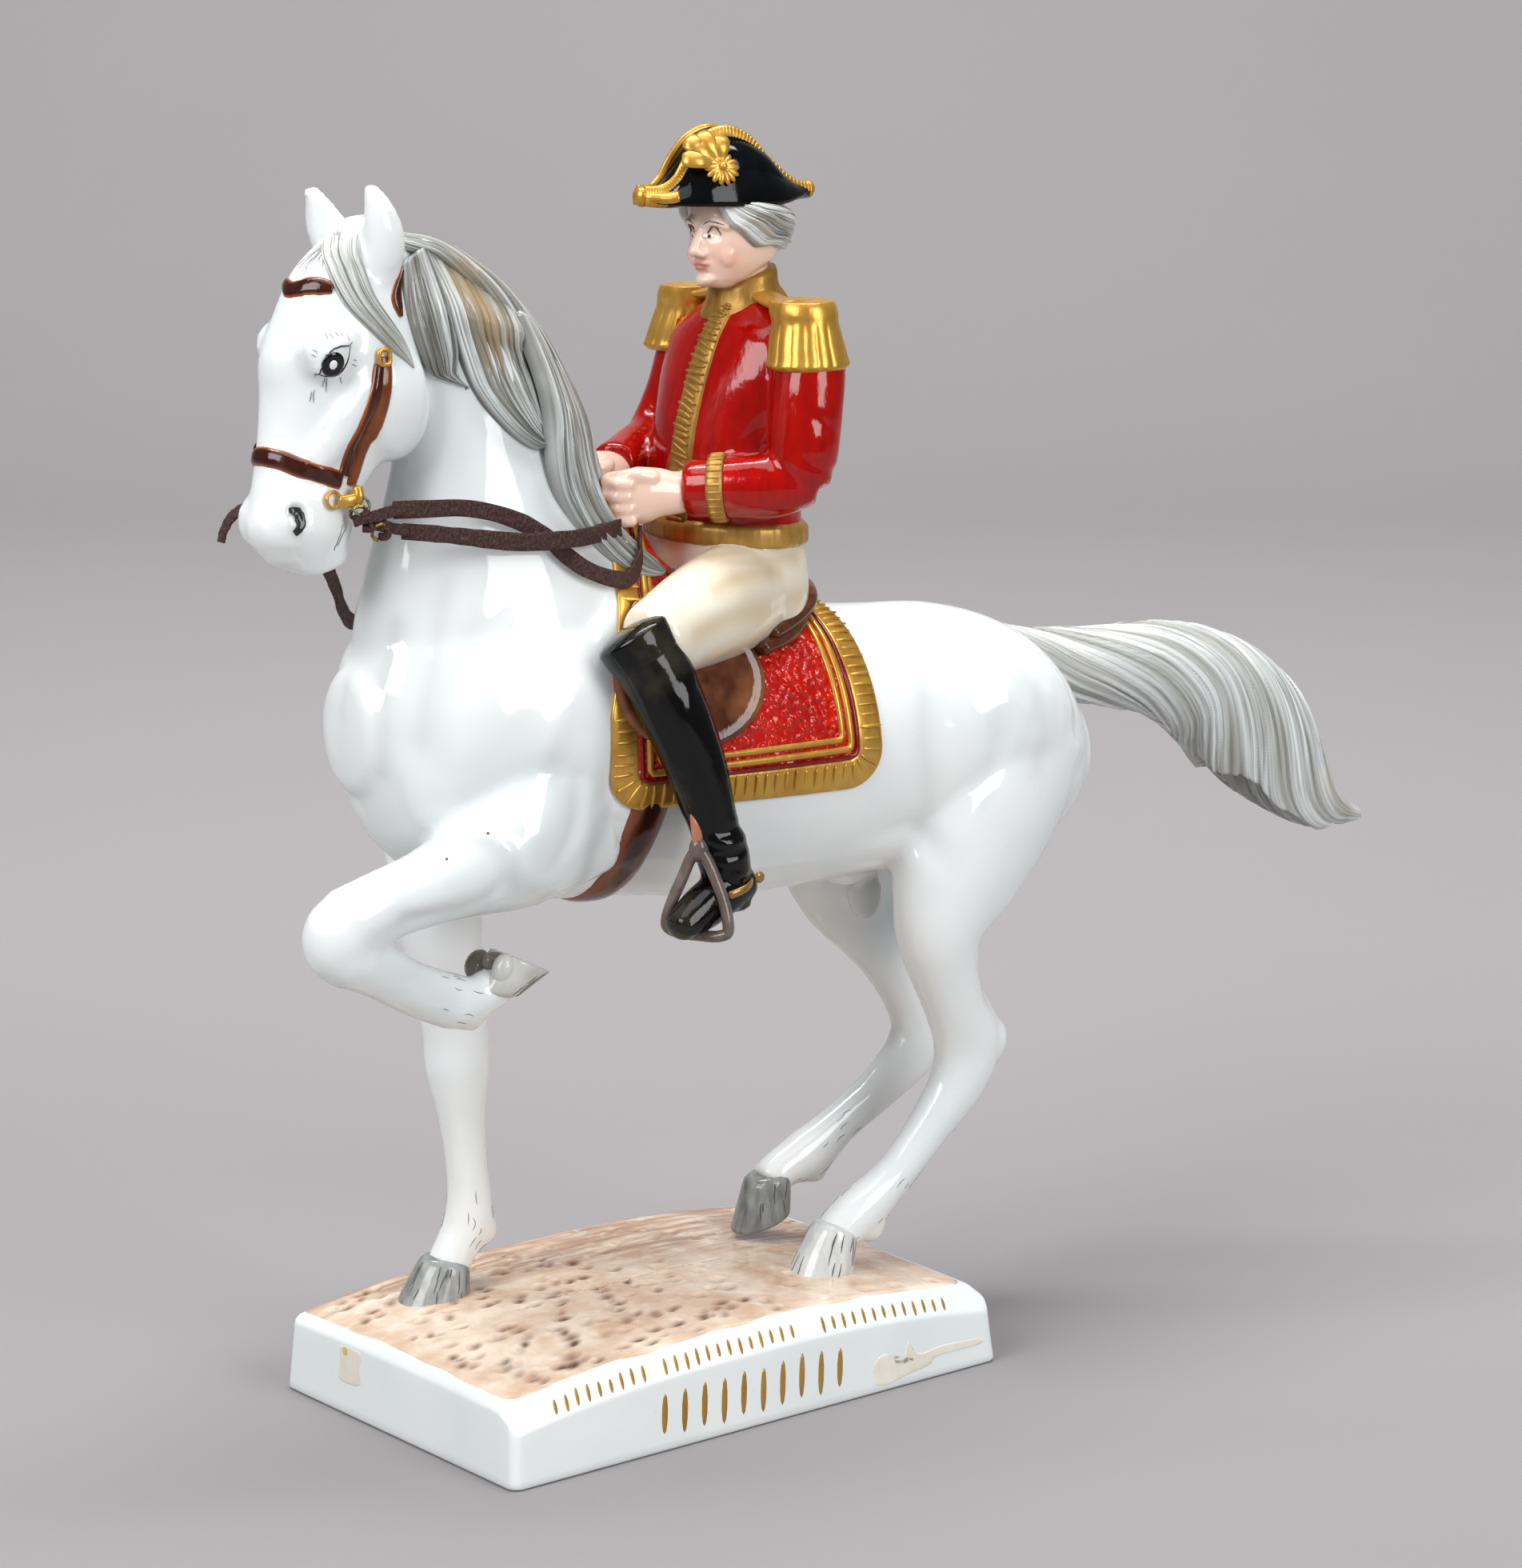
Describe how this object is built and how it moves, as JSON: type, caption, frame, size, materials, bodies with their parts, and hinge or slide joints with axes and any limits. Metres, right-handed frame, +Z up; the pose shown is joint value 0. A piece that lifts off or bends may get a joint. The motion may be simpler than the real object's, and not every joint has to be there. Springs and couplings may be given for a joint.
{
  "type": "equestrian statuette",
  "caption": "Glazed porcelain rider in a braided coat on a trotting horse with one foreleg raised, made in one with a low arched plinth, with real leather reins on brass bit rings.",
  "frame": {"origin": "centre of the plinth's underside", "axes": "+Z up, the horse looks along -X, its left side is on -Y"},
  "size_m": [0.3098, 0.0931, 0.2847],
  "materials": {
    "painted_porcelain": "glossy white glaze with painted and gilded details",
    "rein_leather": "dark brown wrinkled strap leather",
    "ring_brass": "dull aged wire"
  },
  "bodies": {
    "root": {"porcelain_group": "painted_porcelain", "near_upper_rein": "rein_leather", "near_lower_rein": "rein_leather", "far_rein": "rein_leather", "far_rein_end": "rein_leather", "upper_bit_ring": "ring_brass", "lower_bit_ring": "ring_brass", "far_bit_ring": "ring_brass"}
  },
  "joints": []
}
